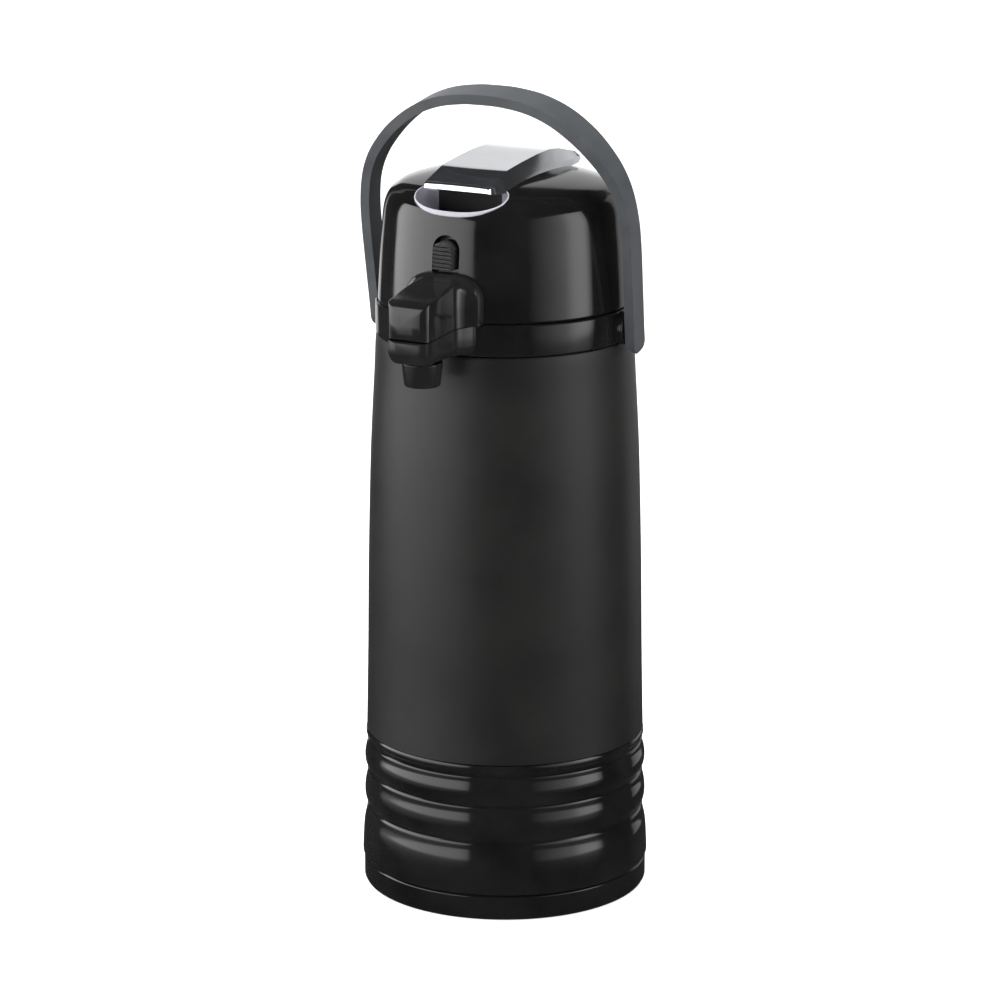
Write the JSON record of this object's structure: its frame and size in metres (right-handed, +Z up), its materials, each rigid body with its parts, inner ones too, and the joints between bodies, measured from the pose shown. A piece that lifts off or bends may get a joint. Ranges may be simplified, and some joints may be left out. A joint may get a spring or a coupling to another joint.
{
  "type": "thermal coffee airpot",
  "caption": "Tall vacuum dispenser with swivel base, ribbed skirt, matte shell, hinged pump lid with metal lever, press latch, front spout and swinging bail handle.",
  "frame": {"origin": "centre of the base pad's underside, on the pot's axis, where it stands on the counter", "axes": "+Z up along the pot's axis; -Y towards the spout; +X to the spout's right seen from behind the pot"},
  "size_m": [0.1488, 0.172, 0.4057],
  "materials": {
    "gloss_black": "high gloss",
    "matte_black": "fine pebbled matte",
    "satin_grip": "satin",
    "chrome_plate": "mirror polish",
    "steel": "bright",
    "liner_glass": "silvered",
    "black_rubber": "matte",
    "grey_silicone": "matte",
    "white_plastic": "satin"
  },
  "bodies": {
    "base": {"base_ring": "gloss_black", "base_pad": "black_rubber", "glide_ring": "white_plastic", "swivel_washer": "steel", "swivel_screw": "steel"},
    "pot": {"base_skirt": "gloss_black", "bottom_plate": "gloss_black", "liner_cushion": "grey_silicone", "body_shell": "matte_black", "vacuum_liner": "liner_glass", "neck_gasket": "grey_silicone", "collar": "gloss_black", "lid_hinge_pin": "steel", "stopper": "white_plastic", "stopper_gasket": "grey_silicone", "dip_tube": "white_plastic", "tube_nut": "white_plastic", "outlet_elbow": "white_plastic", "air_valve": "grey_silicone", "spout_lower": "gloss_black", "nozzle": "gloss_black"},
    "lid": {"lid_cover": "gloss_black", "finger_recess": "gloss_black", "lid_base": "white_plastic", "air_boot": "grey_silicone", "spout_cover": "gloss_black", "lever_pin": "steel", "latch_pin": "steel", "bellows": "black_rubber", "return_spring": "steel"},
    "lever": {"lever": "chrome_plate"},
    "plunger": {"plunger": "white_plastic"},
    "latch": {"latch_button": "gloss_black"},
    "handle_pins": {"left_handle_pin": "steel", "right_handle_pin": "steel"},
    "handle": {"handle": "satin_grip"}
  },
  "joints": [
    {"name": "base_swivel", "type": "hinge", "parent": "base", "child": "pot", "pos_m": [0, 0, 0.0137], "axis": [0, 0, 1], "continuous": true},
    {"name": "lid_open", "type": "hinge", "parent": "pot", "child": "lid", "pos_m": [0, 0.066, 0.2993], "axis": [-1, 0, 0], "range_deg": [0, 62]},
    {"name": "lever_lift", "type": "hinge", "parent": "lid", "child": "lever", "pos_m": [0, 0.0415, 0.3648], "axis": [-1, 0, 0], "range_deg": [0, 20]},
    {"name": "plunger_slide", "type": "slide", "parent": "lid", "child": "plunger", "axis": [0, 0, 1], "range_m": [0, 0.0126], "deforming": ["bellows", "return_spring"]},
    {"name": "latch_press", "type": "hinge", "parent": "lid", "child": "latch", "pos_m": [0, -0.0515, 0.3425], "axis": [1, 0, 0], "range_deg": [0, 4], "stiffness_Nm_per_rad": 0.5},
    {"name": "handle_follow", "type": "hinge", "parent": "pot", "child": "handle_pins", "pos_m": [0, 0, 0.291], "axis": [-1, 0, 0], "range_deg": [0, 143]},
    {"name": "handle_swing", "type": "hinge", "parent": "handle_pins", "child": "handle", "pos_m": [0, 0, 0.291], "axis": [1, 0, 0], "range_deg": [-142, 0]}
  ],
  "couplings": [
    {"joint": "plunger_slide", "follows": "lever_lift", "m_per_rad": 0.036},
    {"joint": "handle_follow", "follows": "lid_open", "ratio": 2.3}
  ]
}
